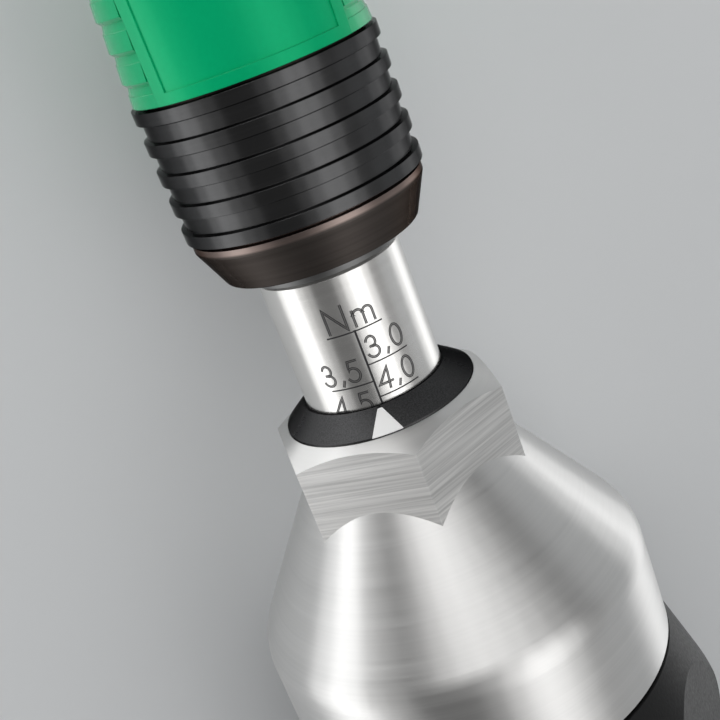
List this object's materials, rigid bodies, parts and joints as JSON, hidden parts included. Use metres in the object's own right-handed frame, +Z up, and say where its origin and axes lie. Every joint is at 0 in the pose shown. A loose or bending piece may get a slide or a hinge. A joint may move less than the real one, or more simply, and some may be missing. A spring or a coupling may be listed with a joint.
{
  "type": "torque screwdriver",
  "caption": "Adjustable torque screwdriver with a click clutch, a turning metal collar with a hexagon and pointer, a sliding scale sleeve and a quick-release chuck for hexagon bits.",
  "frame": {"origin": "on the surface it lies on, below the middle of the tool's length, under its axis", "axes": "+X along the tool's axis towards the bit socket, +Z up from the handle's lower flat to the scale, +Y to the left of someone who looks along +X"},
  "size_m": [0.1578, 0.0422, 0.0384],
  "materials": {
    "handle_plastic": "fine moulded",
    "grip_rubber": "soft matt",
    "collar_metal": "satin turned",
    "pointer_black": "semi-matt black",
    "scale_steel": "satin turned, with an engraved scale",
    "dark_steel": "blackened, fine turned",
    "steel": "machined",
    "spring_steel": "drawn wire",
    "bronze": "plain bearing",
    "magnet": "nickel plated",
    "rib_plastic": "fine moulded",
    "green_plastic": "moulded"
  },
  "bodies": {
    "handle": {"handle_shell": "handle_plastic", "grip_pads": "grip_rubber", "end_cap": "handle_plastic", "clutch_housing": "steel", "guide_plate": "steel", "main_spring": "spring_steel", "rear_plug": "steel", "handle_screw": "dark_steel", "screw_washer": "steel", "collar_washer": "bronze", "collar_ring": "spring_steel"},
    "collar": {"setting_collar": "collar_metal", "pointer_ring": "pointer_black"},
    "carriage": {"scale_sleeve": "scale_steel", "spindle_bushes": "bronze"},
    "plate": {"pressure_plate": "steel", "clutch_balls": "steel"},
    "output": {"spindle": "steel", "thrust_washer": "steel", "cam_disc": "steel", "spindle_washer": "steel", "spindle_nut": "steel", "bit_magnet": "magnet", "release_spring": "spring_steel", "spring_seat": "steel", "nose_clip": "spring_steel"},
    "release": {"release_collar": "steel", "sleeve_clip": "spring_steel"},
    "grip": {"chuck_sleeve": "dark_steel", "ribbed_ring": "rib_plastic", "green_ring": "green_plastic"},
    "ball": {"lock_ball": "steel"}
  },
  "joints": [
    {"name": "collar_turn", "type": "hinge", "parent": "handle", "child": "collar", "pos_m": [0.03442, 0, 0.0192], "axis": [-1, 0, 0], "range_deg": [-720, 1440]},
    {"name": "scale_travel", "type": "slide", "parent": "handle", "child": "carriage", "axis": [1, 0, 0], "range_m": [-0.003, 0.006], "deforming": ["main_spring"]},
    {"name": "clutch_lift", "type": "slide", "parent": "carriage", "child": "plate", "axis": [1, 0, 0], "range_m": [0, 0.0009], "stiffness_N_per_m": 42000, "deforming": ["main_spring"]},
    {"name": "output_turn", "type": "hinge", "parent": "carriage", "child": "output", "pos_m": [0.03442, 0, 0.0192], "axis": [1, 0, 0], "continuous": true},
    {"name": "sleeve_release", "type": "slide", "parent": "output", "child": "release", "axis": [1, 0, 0], "range_m": [0, 0.003], "stiffness_N_per_m": 1500, "deforming": ["release_spring"]},
    {"name": "grip_spin", "type": "hinge", "parent": "release", "child": "grip", "pos_m": [0.03442, 0, 0.0192], "axis": [1, 0, 0], "continuous": true},
    {"name": "ball_lock", "type": "slide", "parent": "output", "child": "ball", "axis": [0, 1, 0], "range_m": [0, 0.0008]}
  ],
  "couplings": [
    {"joint": "collar_turn", "follows": "scale_travel", "rad_per_m": 4188.8},
    {"joint": "ball_lock", "follows": "sleeve_release", "ratio": 0.26666}
  ]
}
